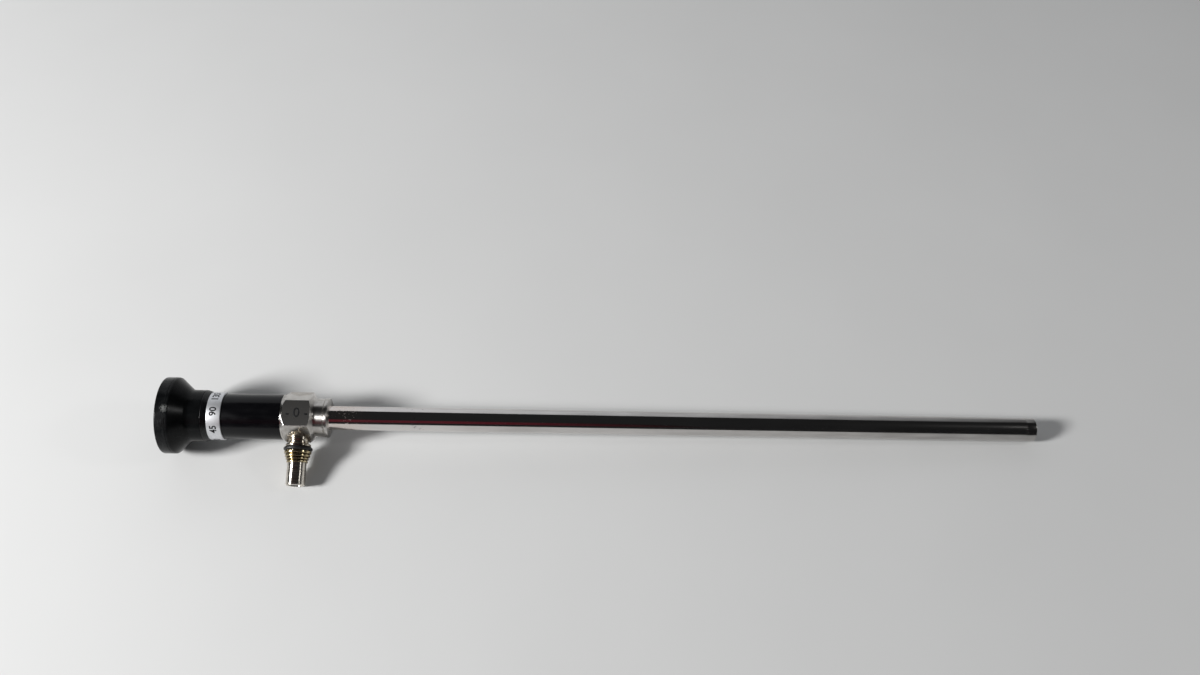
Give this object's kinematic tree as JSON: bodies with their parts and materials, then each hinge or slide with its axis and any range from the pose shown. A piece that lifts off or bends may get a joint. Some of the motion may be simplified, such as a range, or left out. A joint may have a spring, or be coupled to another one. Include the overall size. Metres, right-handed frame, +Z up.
{
  "type": "rigid endoscope",
  "caption": "Rigid rod-lens endoscope: black eyepiece, hexagonal steel body with a side light post, and a long straight polished shaft with a flat window at the tip.",
  "frame": {"origin": "on the table, under the middle of the box round the whole instrument", "axes": "+X along the scope from the eyepiece to the tip, +Y to the side away from the light post, +Z up from the table it lies on"},
  "size_m": [0.3714, 0.044, 0.0321],
  "materials": {
    "black_cap": "moulded black high-temperature plastic, worn at the rim",
    "black_lens_mount": "black anodised",
    "black_ring": "turned black plastic with fine grooves",
    "black_sleeve": "smooth black sleeve, slightly glossy",
    "body_steel": "satin and polished stainless steel",
    "fibre_glass": "bundle of fine light fibres with polished ends",
    "inner_steel": "turned stainless steel",
    "lens_glass": "polished optical glass",
    "post_steel": "bright plated steel",
    "seal_rubber": "black rubber",
    "shaft_steel": "polished stainless steel tube",
    "silver_band": "brushed silver band",
    "stained_steel": "plated steel with brown stain between the rings",
    "window_glass": "polished flat window"
  },
  "bodies": {
    "root": {"body_seal": "seal_rubber", "body_sleeve": "black_sleeve", "cap_seal": "seal_rubber", "core_tube": "inner_steel", "distal_ferrule": "shaft_steel", "distal_window": "window_glass", "eyepiece_cap": "black_cap", "field_stop": "black_lens_mount", "hex_body": "body_steel", "label_band": "silver_band", "lens_cell": "black_lens_mount", "lens_retainer": "black_lens_mount", "light_fibres": "fibre_glass", "lock_ring": "black_ring", "middle_sleeve": "post_steel", "nose_flange": "body_steel", "objective_barrel": "black_lens_mount", "objective_lens": "lens_glass", "ocular_lens": "lens_glass", "ocular_window": "window_glass", "ocular_window_ring": "inner_steel", "optics_bush": "inner_steel", "optics_tube": "inner_steel", "post_end_sleeve": "post_steel", "post_seal": "seal_rubber", "post_stem": "post_steel", "post_window": "window_glass", "ring_sleeve": "stained_steel", "rod_lens_1": "lens_glass", "rod_lens_2": "lens_glass", "rod_lens_3": "lens_glass", "rod_lens_4": "lens_glass", "rod_lens_5": "lens_glass", "rod_lens_6": "lens_glass", "shaft_tube": "shaft_steel", "spacer_tube_1": "inner_steel", "spacer_tube_2": "inner_steel", "spacer_tube_3": "inner_steel", "spacer_tube_4": "inner_steel", "spacer_tube_5": "inner_steel", "spacer_tube_6": "inner_steel", "spacer_tube_7": "inner_steel"}
  },
  "joints": []
}
